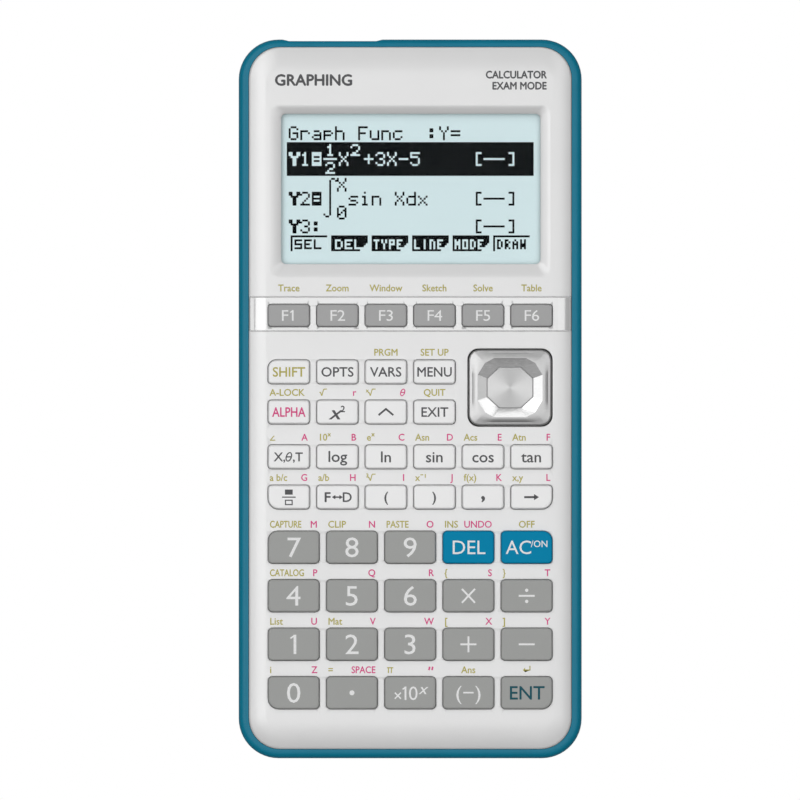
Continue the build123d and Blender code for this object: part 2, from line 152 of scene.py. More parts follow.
def plastic(
    name, colour, roughness, grain=2600.0, depth=0.00002, mottle=0.03, metallic=0.0, coat=0.0, gloss=0.5
):
    """Moulded plastic: fine spark-eroded grain that also varies the roughness, and a slow drift of colour."""
    material, tree, shader = start_material(name)
    fine, slow = noise(tree, grain, 3.0), noise(tree, 90.0)
    stops = [(0.3, tint(colour, 1 - mottle)), (0.7, tint(colour, 1 + mottle))]
    feed(tree, shader, {
        "Base Color": ramp(tree, slow, stops),
        "Roughness": spread(tree, fine, roughness - 0.06, roughness + 0.06),
        "Normal": bump(tree, fine, 0.35, depth),
        "Metallic": metallic,
        "Coat Weight": coat,
        "Coat Roughness": 0.15,
        "Specular IOR Level": gloss,
    })
    return material


def metal(name, colour, roughness, scratch=(40.0, 1.0, 1.0), depth=0.00001):
    """Bare or plated metal with drawn-out scratches."""
    material, tree, shader = start_material(name)
    lines = noise(tree, 900.0, 4.0, scratch)
    stops = [(0.25, tint(colour, 0.85)), (0.75, tint(colour, 1.1))]
    feed(tree, shader, {
        "Base Color": ramp(tree, lines, stops),
        "Roughness": spread(tree, lines, roughness - 0.08, roughness + 0.1),
        "Normal": bump(tree, lines, 0.3, depth),
        "Metallic": 1.0,
    })
    return material


def ink(name, colour, roughness=0.45, gloss=0.15):
    """Printed ink: nearly even, with the faint speckle of a screen print."""
    material, tree, shader = start_material(name)
    speckle = noise(tree, 5200.0, 1.0)
    stops = [(0.2, tint(colour, 0.9)), (0.8, tint(colour, 1.08))]
    feed(tree, shader, {
        "Base Color": ramp(tree, speckle, stops),
        "Roughness": spread(tree, speckle, roughness - 0.05, roughness + 0.08),
        "Specular IOR Level": gloss,
    })
    return material


def clear_window(name):
    """Clear acrylic: lets everything through except a mirror sheen that grows at grazing angles."""
    material, tree, shader = start_material(name)
    tree.nodes.remove(shader)
    clear = add(tree, "BsdfTransparent", {"Color": (0.985, 0.995, 0.995, 1)})
    sheen = add(tree, "BsdfGlossy", {"Color": (1, 1, 1, 1), "Roughness": 0.04})
    facing = add(tree, "LayerWeight", {"Blend": 0.5})
    steep = add(tree, "Math", {0: facing.outputs["Facing"], 1: 5.0})
    steep.operation = "POWER"
    share = spread(tree, steep.outputs["Value"], 0.003, 0.5)
    mix = add(tree, "MixShader", {"Fac": share, 1: clear.outputs["BSDF"], 2: sheen.outputs["BSDF"]})
    feed(tree, tree.nodes["Material Output"], {"Surface": mix.outputs["Shader"]})
    return material


def spun_metal(name, colour):
    """Metallised centre of the cursor pad, turned on a lathe: fine rings about the piece's own Z."""
    material, tree, shader = start_material(name)
    place = add(tree, "TexCoord").outputs["Object"]
    rings = add(tree, "TexWave", {"Scale": 1700.0, "Distortion": 0.6, "Detail": 2.0, "Vector": place})
    rings.wave_type = "RINGS"
    rings.rings_direction = "Z"
    tangent = add(tree, "Tangent")
    tangent.direction_type = "RADIAL"
    tangent.axis = "Z"
    height = rings.outputs["Fac"]
    feed(tree, shader, {
        "Base Color": ramp(tree, height, [(0.0, tint(colour, 0.93)), (1.0, tint(colour, 1.05))]),
        "Roughness": spread(tree, height, 0.26, 0.36),
        "Normal": bump(tree, height, 0.15, 0.000008),
        "Metallic": 1.0,
        "Anisotropic": 0.8,
        "Anisotropic Rotation": 0.25,
        "Tangent": tangent.outputs["Tangent"],
    })
    return material


WHITE_FACE = plastic("white_face", srgb(225, 225, 225), 0.36, metallic=0.33, mottle=0.008)
BAND = plastic("gloss_band", srgb(207, 207, 207), 0.1, depth=0.000004, mottle=0.006, metallic=0.5, coat=0.15)
BLUE_CASE = plastic("blue_case", srgb(3, 122, 150), 0.34, depth=0.00002, mottle=0.03, gloss=0.25)
BASE_BLUE = plastic("blue_case_back", srgb(3, 112, 140), 0.5, grain=1500.0, depth=0.00006, gloss=0.25)
WHITE_KEY = plastic("white_key", srgb(243, 243, 243), 0.4, mottle=0.008, metallic=0.15, gloss=0.4)
GREY_KEY = plastic("grey_key", srgb(168, 169, 167), 0.45, mottle=0.01, gloss=0.2)
SOFT_KEY = plastic("soft_key", srgb(175, 175, 175), 0.42, mottle=0.01, gloss=0.2)
BLUE_KEY = plastic("blue_key", srgb(0, 138, 181), 0.42, mottle=0.015, gloss=0.05)
PAD_SILVER = metal("silver_pad", srgb(186, 186, 186), 0.34, scratch=(1.0, 30.0, 1.0), depth=0.000004)
PAD_FACET = metal("silver_facet", srgb(224, 224, 224), 0.14, scratch=(1.0, 12.0, 1.0), depth=0.000002)
PAD_SPUN = spun_metal("silver_spun", srgb(178, 178, 178))
RUBBER = plastic("mat", srgb(196, 196, 190), 0.65, grain=1200.0)
BOARD = plastic("board", srgb(20, 96, 52), 0.35, grain=700.0, mottle=0.12)
LCD_GLASS = plastic("lcd", srgb(231, 248, 251), 0.55, depth=0.000002, mottle=0.006, gloss=0.1)
LCD_DOT = ink("lcd_dot", srgb(6, 9, 11), 0.6, gloss=0.0)
WINDOW = clear_window("window")
SCREW = metal("screw", srgb(70, 70, 72), 0.35)
CONTACT = metal("contact", srgb(205, 203, 196), 0.28)
SOCKET = metal("socket", srgb(188, 188, 186), 0.3)
RESTART = plastic("restart", srgb(206, 206, 204), 0.45)
INK_WHITE = ink("ink_white", srgb(244, 244, 244))
INK_DARK = ink("ink_dark", srgb(92, 92, 94))
INK_TEAL = ink("ink_teal", srgb(24, 84, 96))
INK_OLIVE = ink("ink_olive", srgb(186, 177, 96))
INK_MAGENTA = ink("ink_magenta", srgb(224, 84, 142))


def cell_sleeve():
    """Plain two-colour sleeve of an AAA cell, with bare steel at both ends."""
    material, tree, shader = start_material("cell")
    low, high = node_box("batteries")
    place = add(tree, "SeparateXYZ", {"Vector": add(tree, "TexCoord").outputs["Object"]}).outputs["Y"]
    along = add(tree, "MapRange", {"Value": place, "From Min": low.y * MM, "From Max": high.y * MM})
    steel, sleeve, stripe = srgb(190, 188, 182), srgb(98, 106, 118), srgb(196, 152, 82)
    stops = [(0.0, steel), (0.04, sleeve), (0.302, stripe), (0.33, sleeve), (0.96, steel)]
    feed(tree, shader, {
        "Base Color": ramp(tree, along.outputs["Result"], stops, "CONSTANT"),
        "Roughness": spread(tree, noise(tree, 400.0, 3.0), 0.22, 0.36),
        "Metallic": 0.2,
    })
    return material


# ------------------------------------------------------------------------------- mesh tools
def make_piece(name, points, faces, materials, body, origin=(0, 0, 0), sharp=40, face_slots=None):
    """Mesh object from millimetre points, smooth except where it turns by more than sharp degrees."""
    origin = Vector(origin)
    mesh = bpy.data.meshes.new(name)
    mesh.from_pydata([(Vector(p) - origin) * MM for p in points], [], faces)
    for material in materials:
        mesh.materials.append(material)
    if face_slots:
        mesh.polygons.foreach_set("material_index", face_slots)
    mesh.update()
    mesh.shade_smooth()
    mesh.set_sharp_from_angle(angle=math.radians(sharp))
    piece = bpy.data.objects.new(name, mesh)
    bpy.context.scene.collection.objects.link(piece)
    piece.location = origin * MM
    weigh = piece.modifiers.new("flat faces stay flat", "WEIGHTED_NORMAL")
    weigh.keep_sharp = True
    weigh.weight = 90
    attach(piece, body)
    return piece


def rounded(x0, x1, y0, y1, radii, steps=6):
    """Rounded rectangle, counter-clockwise from the lower left; radii go the same way round."""
    if isinstance(radii, (int, float)):
        radii = (radii,) * 4
    corners = ((x0, y0, 1, 1, 180), (x1, y0, -1, 1, 270), (x1, y1, -1, -1, 0), (x0, y1, 1, -1, 90))
    points = []
    for (x, y, sx, sy, start), radius in zip(corners, radii):
        for step in range(steps + 1):
            angle = math.radians(start + 90 * step / steps)
            cx, cy = x + sx * radius, y + sy * radius
            points.append((cx + radius * math.cos(angle), cy + radius * math.sin(angle)))
    return points


def shrunk(box, radii, inset, steps=6):
    """A rounded rectangle moved in by inset on all sides."""
    x0, x1, y0, y1 = box
    return rounded(
        x0 + inset, x1 - inset, y0 + inset, y1 - inset, [max(0.05, r - inset) for r in radii], steps
    )


def loft(rings, close_low=True, close_high=True):
    """Points and faces of a tube through rings of equal length, with flat ends."""
    points = [point for ring in rings for point in ring]
    count = len(rings[0])
    faces = []
    for level in range(len(rings) - 1):
        for i in range(count):
            j = (i + 1) % count
            a, b = level * count, (level + 1) * count
            faces.append((a + i, a + j, b + j, b + i))
    if close_low:
        faces.append(tuple(range(count - 1, -1, -1)))
    if close_high:
        start = (len(rings) - 1) * count
        faces.append(tuple(range(start, start + count)))
    return points, faces


def round_over(radius, steps, top):
    """(inset, height) pairs of a rounded edge, from its side up to its top."""
    pairs = []
    for step in range(steps + 1):
        angle = math.radians(90 * step / steps)
        pairs.append((radius * (1 - math.cos(angle)), top - radius + radius * math.sin(angle)))
    return pairs


# ------------------------------------------------------------------------------- keys
ROWS = (
    ("f1 f2 f3 f4 f5 f6", SOFT_KEY, "grey_key"),
    ("shift options variables menu", WHITE_KEY, "white_key"),
    ("alpha square power exit", WHITE_KEY, "white_key"),
    ("x_theta_t log ln sin cos tan", WHITE_KEY, "white_key"),
    ("fraction convert open_bracket close_bracket comma store", WHITE_KEY, "white_key"),
    ("7 8 9", GREY_KEY, "grey_key"),
    ("delete clear", BLUE_KEY, "blue_key"),
    ("4 5 6 multiply divide", GREY_KEY, "grey_key"),
    ("1 2 3 plus minus", GREY_KEY, "grey_key"),
    ("0 point exponent negative enter", GREY_KEY, "grey_key"),
)
LOWER_LEFT, LOWER_RIGHT, UPPER_RIGHT, UPPER_LEFT = range(4)
BIG_CORNERS = {
    "shift": (UPPER_LEFT, 2.0),
    "fraction": (LOWER_LEFT, 2.6),
    "store": (LOWER_RIGHT, 2.6),
    "7": (UPPER_LEFT, 2.4),
    "clear": (UPPER_RIGHT, 2.3),
    "0": (LOWER_LEFT, 2.6),
    "enter": (LOWER_RIGHT, 2.6),
}


def key_plan(name):
    """(box, corner radii) of a key's cap."""
    low, high = node_box("key_" + name)
    box = (low.x + KEY_FLANGE, high.x - KEY_FLANGE, low.y + KEY_FLANGE, high.y - KEY_FLANGE)
    corner = 1.1 if box[1] - box[0] > 12 else 0.9
    radii = [corner] * 4
    if name in BIG_CORNERS:
        index, radius = BIG_CORNERS[name]
        radii[index] = radius
    return box, radii


def key_mesh(name):
    """Cap with drafted sides and a rounded edge, on the flange that keeps it in the case."""
    box, radii = key_plan(name)
    low, high = node_box("key_" + name)
    flange_top = low.z + 0.65
    profile = [(-KEY_FLANGE, low.z), (-KEY_FLANGE, flange_top), (0.0, flange_top), (0.0, high.z - 1.6)]
    profile += [(0.08 + inset, z) for inset, z in round_over(0.42, 6, high.z - 0.015)]
    profile.append((1.1, high.z))
    rings = [[(x, y, z) for x, y in shrunk(box, radii, inset)] for inset, z in profile]
    return loft(rings)


def build_keys():
    for names, material, slot in ROWS:
        for name in names.split():
            node = "key_" + name
            points, faces = key_mesh(name)
            piece = make_piece("cap_" + name, points, faces, [material], node, sharp=35)
            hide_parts(node)


# ------------------------------------------------------------------------------- lettering
def text_mesh(text, height, x, y, z, align="CENTER", bold=0.0, slant=0.0, stretch=1.0):
    """Points and faces of a line of text whose capitals are this high; y is their middle. Bold spreads
    each stroke by that much on every side."""
    curve = bpy.data.curves.new("lettering", "FONT")
    curve.body = text
    curve.size = height / CAPITAL
    curve.align_x = align
    curve.shear = slant
    curve.resolution_u = 3
    curve.extrude = INK_HALF
    holder = bpy.data.objects.new("lettering", curve)
    bpy.context.scene.collection.objects.link(holder)
    bpy.context.view_layer.update()
    mesh = bpy.data.meshes.new_from_object(holder.evaluated_get(bpy.context.evaluated_depsgraph_get()))
    shifts = [(0, 0), (bold, 0), (-bold, 0), (0, bold), (0, -bold)] if bold else [(0, 0)]
    parts = []
    for index, (dx, dy) in enumerate(shifts):
        lift = z + STROKE_STEP * index
        points = [
            (v.co.x * stretch + x + dx, v.co.y + y - height / 2 + dy, v.co.z + lift) for v in mesh.vertices
        ]
        parts.append((points, [tuple(p.vertices) for p in mesh.polygons]))
    bpy.data.objects.remove(holder)
    bpy.data.curves.remove(curve)
    bpy.data.meshes.remove(mesh)
    return joined(parts)


def stacked(parts):
    """Joins strokes that cross, each a hair above the one before."""
    lifted = []
    for i, (points, faces) in enumerate(parts):
        lifted.append(([(x, y, z + STROKE_STEP * i) for x, y, z in points], faces))
    return joined(lifted)


def plate(outline, z):
    """Printed patch with any outline, counter-clockwise."""
    return loft([[(x, y, z - INK_HALF) for x, y in outline], [(x, y, z + INK_HALF) for x, y in outline]])


def stroke(x0, y0, x1, y1, width, z):
    """Straight printed line."""
    length = math.hypot(x1 - x0, y1 - y0)
    nx, ny = -(y1 - y0) / length * width / 2, (x1 - x0) / length * width / 2
    return plate([(x0 - nx, y0 - ny), (x1 - nx, y1 - ny), (x1 + nx, y1 + ny), (x0 + nx, y0 + ny)], z)


def dot(x, y, radius, z):
    turn = [math.radians(30 * step) for step in range(12)]
    return plate([(x + radius * math.cos(a), y + radius * math.sin(a)) for a in turn], z)


def oval(x, y, half_x, half_y, width, slant, z):
    """Printed oval ring made of short strokes."""
    turn = [math.radians(22.5 * step) for step in range(17)]
    spots = [
        (x + half_x * math.cos(a) + slant * half_y * math.sin(a), y + half_y * math.sin(a)) for a in turn
    ]
    return stacked([stroke(*a, *b, width, z) for a, b in zip(spots, spots[1:])])


def theta(x, y, height, width, z):
    half = height / 2
    cross = stroke(x - half * 0.55, y, x + half * 0.55, y, width, z + 0.025)
    return joined([oval(x, y, half * 0.6, half, width, 0.25, z), cross])


def root(x, y, height, width, z):
    """Radical sign with a short bar; x is its left end."""
    half = height / 2
    spots = [(x, y - half * 0.1), (x + half * 0.3, y + half * 0.1), (x + half * 0.7, y - half)]
    spots += [(x + half * 1.3, y + half), (x + half * 2.3, y + half)]
    return stacked([stroke(*a, *b, width, z) for a, b in zip(spots, spots[1:])])


def pi_sign(x, y, height, width, z):
    half = height / 2
    top = stroke(x, y + half * 0.6, x + half * 1.9, y + half * 0.6, width, z)
    legs = [
        stroke(x + half * dx, y - half, x + half * (dx + 0.1), y + half * 0.6, width, z) for dx in (0.4, 1.3)
    ]
    return stacked([top] + legs)


def arrow(x, y, half, width, z, both=False):
    """Line with a filled head at its right end, or at both ends."""
    head = width * 2.0
    parts = [stroke(x - half + (head if both else 0), y, x + half - head, y, width, z)]
    for way in (1, -1) if both else (1,):
        tip = [(x + way * half, y), (x + way * (half - head * 1.2), y + head * 0.75 * way)]
        parts.append(plate(tip + [(x + way * (half - head * 1.2), y - head * 0.75 * way)], z))
    return joined(parts)


def bar(x0, x1, y0, y1, z):
    """Printed rectangle."""
    return plate([(x0, y0), (x1, y0), (x1, y1), (x0, y1)], z)


def joined(parts):
    points, faces = [], []
    for more_points, more_faces in parts:
        start = len(points)
        points += more_points
        faces += [tuple(start + i for i in face) for face in more_faces]
    return points, faces


# legend: (text, capital height, x shift, y shift, boldness, stretch), one or more to a key
LEGENDS = {
    **{f"f{i}": [("F", 2.6, -1.0, 0, 0.0, 1.12), (str(i), 2.6, 0.95, 0, 0.0, 1.12)] for i in range(1, 7)},
    "shift": [("SHIFT", 2.25, 0, 0, 0.05, 0.97)],
    "options": [("OPTS", 2.25, 0, 0, 0.045, 1.02)],
    "variables": [("VARS", 2.25, 0, 0, 0.045, 1.0)],
    "menu": [("MENU", 2.25, 0, 0, 0.045, 0.96)],
    "alpha": [("ALPHA", 2.25, 0, 0, 0.05, 0.8)],
    "square": [("x", 3.3, -0.7, -0.1, 0.045, 1.15), ("2", 1.5, 1.35, 0.75, 0.045, 1.0)],
    "power": [],
    "exit": [("EXIT", 2.25, 0, 0, 0.045, 1.0)],
    "x_theta_t": [("X,", 2.1, -2.2, 0, 0.045, 1.0), (",T", 2.1, 2.15, 0, 0.045, 1.0)],
    "log": [("log", 2.6, 0, 0.1, 0.045, 1.05)],
    **{name: [(name, 2.6, 0, 0, 0.045, 1.05)] for name in ("ln", "sin", "cos", "tan")},
    "fraction": [],
    "convert": [("F", 2.3, -2.45, 0, 0.07, 1.1), ("D", 2.3, 2.35, 0, 0.045, 1.0)],
    "open_bracket": [("(", 2.3, 0, 0.1, 0.06, 1.0)],
    "close_bracket": [(")", 2.3, 0, 0.1, 0.06, 1.0)],
    "comma": [(",", 3.8, 0, 1.4, 0.12, 1.0)],
    "store": [],
    **{i: [(i, 4.75, 0, 0, 0.0, 1.08)] for i in "023456789"},
    "1": [("1", 4.75, 0.3, 0, 0.0, 1.0)],
    "delete": [("DEL", 3.3, 0, 0, 0.0, 1.0)],
    "clear": [("AC", 3.25, -1.9, 0, 0.0, 0.98), ("/ON", 1.55, 3.1, 0.85, 0.02, 0.98)],
    "multiply": [],
    "divide": [],
    "plus": [],
    "minus": [],
    "point": [],
    "exponent": [
        ("1", 3.3, -1.15, -0.1, 0.0, 1.0), ("0", 3.3, 0.75, -0.1, 0.0, 1.0), ("x", 2.6, 3.0, 1.0, 0.02, 1.0)
    ],
    "negative": [("(−)", 3.3, 0, 0, 0.0, 1.12)],
    "enter": [("ENT", 3.2, 0, 0, 0.045, 1.0)],
}


def sign_parts(name, x, y, z):
    """Legends that are drawn, not written."""
    width, reach = 0.46, 1.95
    across = bar(x - reach, x + reach, y - width / 2, y + width / 2, z)
    if name == "plus":
        return [across, bar(x - width / 2, x + width / 2, y - reach, y + reach, z)]
    if name == "minus":
        return [across]
    if name == "divide":
        return [across, dot(x, y + 1.35, 0.42, z), dot(x, y - 1.35, 0.42, z)]
    if name == "multiply":
        return [stroke(x - 1.6, y + way * 1.7, x + 1.6, y - way * 1.7, width, z) for way in (-1, 1)]
    if name == "point":
        return [dot(x, y, 0.62, z)]
    if name == "1":
        return [stroke(x - 0.8, y + 1.45, x + 0.3, y + 2.2, 0.4, z)]
    if name == "exponent":
        low = y - 0.7
        cross = [stroke(x - 3.75, low + way, x - 2.25, low - way, 0.34, z) for way in (-0.75, 0.75)]
        return cross + [stroke(x - 1.85, y + 0.85, x - 1.1, y + 1.4, 0.34, z)]
    if name == "f1":
        return [stroke(x + 0.35, y + 0.7, x + 1.0, y + 1.2, 0.3, z)]
    if name == "power":
        left = stroke(x - 1.8, y - 0.75, x + 0.12, y + 0.85, width, z)
        return [left, stroke(x - 0.12, y + 0.85, x + 1.8, y - 0.75, width, z)]
    if name == "x_theta_t":
        return [theta(x, y, 2.1, 0.3, z)]
    if name == "convert":
        return [arrow(x, y, 1.35, 0.36, z, both=True)]
    if name == "store":
        return [arrow(x, y, 1.8, 0.5, z)]
    if name == "fraction":
        filled = [(-0.95, 0.95, 0.6, 1.85), (-1.65, 1.65, -0.14, 0.14)]
        hollow = [(-0.95, 0.95, -0.9, -0.62), (-0.95, 0.95, -1.95, -1.67)]
        hollow += [(-0.95, -0.67, -1.95, -0.62), (0.67, 0.95, -1.95, -0.62)]
        return [bar(x + x0, x + x1, y + y0, y + y1, z) for x0, x1, y0, y1 in filled + hollow]
    return []


def legend_ink(name, material):
    """Ink of a key's own legend."""
    if name == "shift":
        return INK_OLIVE
    if name == "alpha":
        return INK_MAGENTA
    if name == "enter":
        return INK_TEAL
    return INK_DARK if material is WHITE_KEY else INK_WHITE


def build_legends():
    for names, material, _slot in ROWS:
        for name in names.split():
            node = "key_" + name
            (x0, x1, y0, y1), _radii = key_plan(name)
            x, y = (x0 + x1) / 2, (y0 + y1) / 2
            z = node_box(node)[1].z + PRINT_LIFT
            parts = sign_parts(name, x, y, z)
            for text, height, dx, dy, bold, stretch in LEGENDS[name]:
                slant = 0.3 if text == "x" else 0.0
                parts.append(text_mesh(text, height, x + dx, y + dy, z, "CENTER", bold, slant, stretch))
            points, faces = stacked(parts)
            piece = make_piece("legend_" + name, points, faces, [legend_ink(name, material)], node)


# second functions above the keys: key -> (olive text, magenta text)
ABOVE = {
    "alpha": ("A-LOCK", ""), "square": ("", "r"), "power": ("", "θ"),
    "x_theta_t": ("∠", "A"), "log": ("10ˣ", "B"), "ln": ("eˣ", "C"),
    "sin": ("Asn", "D"), "cos": ("Acs", "E"), "tan": ("Atn", "F"),
    "fraction": ("a b/c", "G"), "convert": ("a/b", "H"), "open_bracket": ("", "I"),
    "close_bracket": ("x⁻¹", "J"), "comma": ("f(x)", "K"), "store": ("x,y", "L"),
    "7": ("CAPTURE", "M"), "8": ("CLIP", "N"), "9": ("PASTE", "O"), "delete": ("INS", "UNDO"),
    "4": ("CATALOG", "P"), "5": ("", "Q"), "6": ("", "R"), "multiply": ("{", "S"), "divide": ("}", "T"),
    "1": ("List", "U"), "2": ("Mat", "V"), "3": ("", "W"), "plus": ("[", "X"), "minus": ("]", "Y"),
    "0": ("i", "Z"), "point": ("=", "SPACE"), "exponent": ("", ""),
}
CENTRED = {
    "f1": "Trace", "f2": "Zoom", "f3": "Window", "f4": "Sketch", "f5": "Solve", "f6": "Table",
    "variables": "PRGM", "menu": "SET UP", "exit": "QUIT", "clear": "OFF", "negative": "Ans", "enter": "↵",
}
NARROW = {"CAPTURE": 0.76, "CATALOG": 0.76, "PASTE": 0.85, "SPACE": 0.88, "A-LOCK": 0.98}


def build_prints():
    """Everything printed on the face, one piece to a colour."""
    z = node_box("front_case")[1].z + PRINT_LIFT
    olive, magenta, dark = [], [], []
    small, weight = 1.62, 0.04

    def above(name):
        (x0, x1, _y0, y1), _radii = key_plan(name)
        return x0, x1, y1 + (1.85 if x1 - x0 < 12 else 1.62)

    for name, (left, right) in ABOVE.items():
        x0, x1, y = above(name)
        stretch = NARROW.get(left, 0.95)
        if left:
            olive.append(text_mesh(left, small, x0 + 0.4, y, z, "LEFT", weight, stretch=stretch))
        if right == "θ":
            magenta.append(theta(x1 - 1.0, y, small, 0.26, z))
        elif right:
            stretch = NARROW.get(right, 0.95)
            magenta.append(text_mesh(right, small, x1 - 0.5, y, z, "RIGHT", weight, stretch=stretch))
    for name, index in (("square", ""), ("power", "x"), ("open_bracket", "3")):
        x0, _x1, y = above(name)
        if index:
            olive.append(text_mesh(index, 0.9, x0 + 0.55, y + 0.5, z, "CENTER", 0.05))
        olive.append(root(x0 + 0.7, y, small, 0.24, z))
    x0, x1, y = above("exponent")
    olive.append(pi_sign(x0 + 0.6, y, small, 0.26, z))
    magenta += [stroke(x1 - shift, y + 0.75, x1 - shift - 0.2, y - 0.1, 0.42, z) for shift in (0.75, 1.5)]
    for name, text in CENTRED.items():
        x0, x1, y = above(name)
        rise = 2.1 if name.startswith("f") else 0.0  # the soft keys' words stand above the band
        olive.append(text_mesh(text, small, (x0 + x1) / 2, y + rise, z, bold=weight, stretch=0.95))
    dark.append(text_mesh("GRAPHING", 2.6, -33.0, 77.6, z, "LEFT", 0.12, stretch=1.0))
    for line, y in (("CALCULATOR", 78.9), ("EXAM MODE", 76.2)):
        dark.append(text_mesh(line, 1.75, 33.2, y, z, "RIGHT", 0.08, stretch=0.9))
    for name, parts, material in (
        ("prints_olive", olive, INK_OLIVE),
        ("prints_magenta", magenta, INK_MAGENTA),
        ("prints_dark", dark, INK_DARK),
    ):
        points, faces = joined(parts)
        make_piece(name, points, faces, [material], "root")


# ------------------------------------------------------------------------------- face
def distance_inside(x, y, box, radius):
    """Distance in from the edge of a rounded rectangle, and how far that edge faces along Y, 0 to 1."""
    x0, x1, y0, y1 = box
    cx, cy = (x0 + x1) / 2, (y0 + y1) / 2
    qx, qy = abs(x - cx) - ((x1 - x0) / 2 - radius), abs(y - cy) - ((y1 - y0) / 2 - radius)
    if qx > 0 and qy > 0:
        reach = math.hypot(qx, qy)
        return radius - reach, qy / max(reach, 1e-9)
    return radius - max(qx, qy), (1.0 if qy > qx else 0.0)


DISPLAY_FRAME = (-34.0, 34.1, 29.6, 71.5)
DISPLAY_OPENING = (-31.4, 31.7, 32.8, 69.4)
RECESS_DEPTH = 0.9
# bevel round the display: share of the way out, and share of the recess's depth there
RECESS_PROFILE = (
    (0.0, 1.0), (0.05, 0.88), (0.3, 0.6), (0.55, 0.33), (0.75, 0.15), (0.9, 0.05), (1.0, 0.01), (1.08, 0.0)
)
BAND_LINES = (24.8, 16.5)
GROOVE_HALF, GROOVE_DEPTH = 0.2, 0.28
EDGE_INSETS = (7.3, 6.8, 6.0, 5.4, 4.9, 4.4, 3.8, 3.2, 2.6, 2.0, 1.5, 1.0, 0.5, 0.12, 0.0)
CROWD_FROM, CROWDING = 3.2, 4.1  # beside the keys, rings past this inset lie this many times closer
KEY_LIP = ((0.0, 0.12), (0.04, 0.04), (0.12, 0.0))  # distance out past the gap, and drop
PAD_LIP = ((0.0, 0.2), (0.08, 0.06), (0.25, 0.0))
PAD_CORNER = 2.6
GROOVE_PIECES = 40


def crown(x, y, box, top, edge):
    """Height of the face: flat in the middle and rolled down along its edge."""
    inside, along = distance_inside(x, y, box, FACE_CORNER)
    width = 5.4 + 1.4 * along
    roll = max(0.0, 1 - inside / width)
    height = top - (top - edge) * roll * roll
    for line in BAND_LINES:
        gap = abs(y - line)
        if gap < GROOVE_HALF:
            height -= GROOVE_DEPTH * (1 - gap / GROOVE_HALF)
    return height


def blend(inner, outer, share):
    """Outline that lies this share of the way from one outline to another."""
    return [(a + (c - a) * share, b + (d - b) * share) for (a, b), (c, d) in zip(inner, outer)]


def split_sides(outline, stops, pieces=16):
    """Adds points to an outline's long straight sides: at these heights on the left and right ones, and so
    that the others fall into this many pieces."""
    dense = []
    for i, (x, y) in enumerate(outline):
        nx, ny = outline[(i + 1) % len(outline)]
        dense.append((x, y))
        if abs(nx - x) < 1e-6 and abs(ny - y) > 3:
            between = sorted((stop for stop in stops if min(y, ny) < stop < max(y, ny)), reverse=ny < y)
            dense += [(x, stop) for stop in between]
        elif abs(ny - y) < 1e-6 and abs(nx - x) > 3:
            dense += [(x + (nx - x) * k / pieces, y) for k in range(1, pieces)]
    return dense


def edge_ring_box(box, inset):
    """Box of one ring of the face's edge; the inner rings crowd together beside the keys."""
    x0, x1, y0, y1 = box
    beside = inset if inset < CROWD_FROM else CROWD_FROM + (inset - CROWD_FROM) / CROWDING
    return x0 + beside, x1 - beside, y0 + inset, y1 - inset


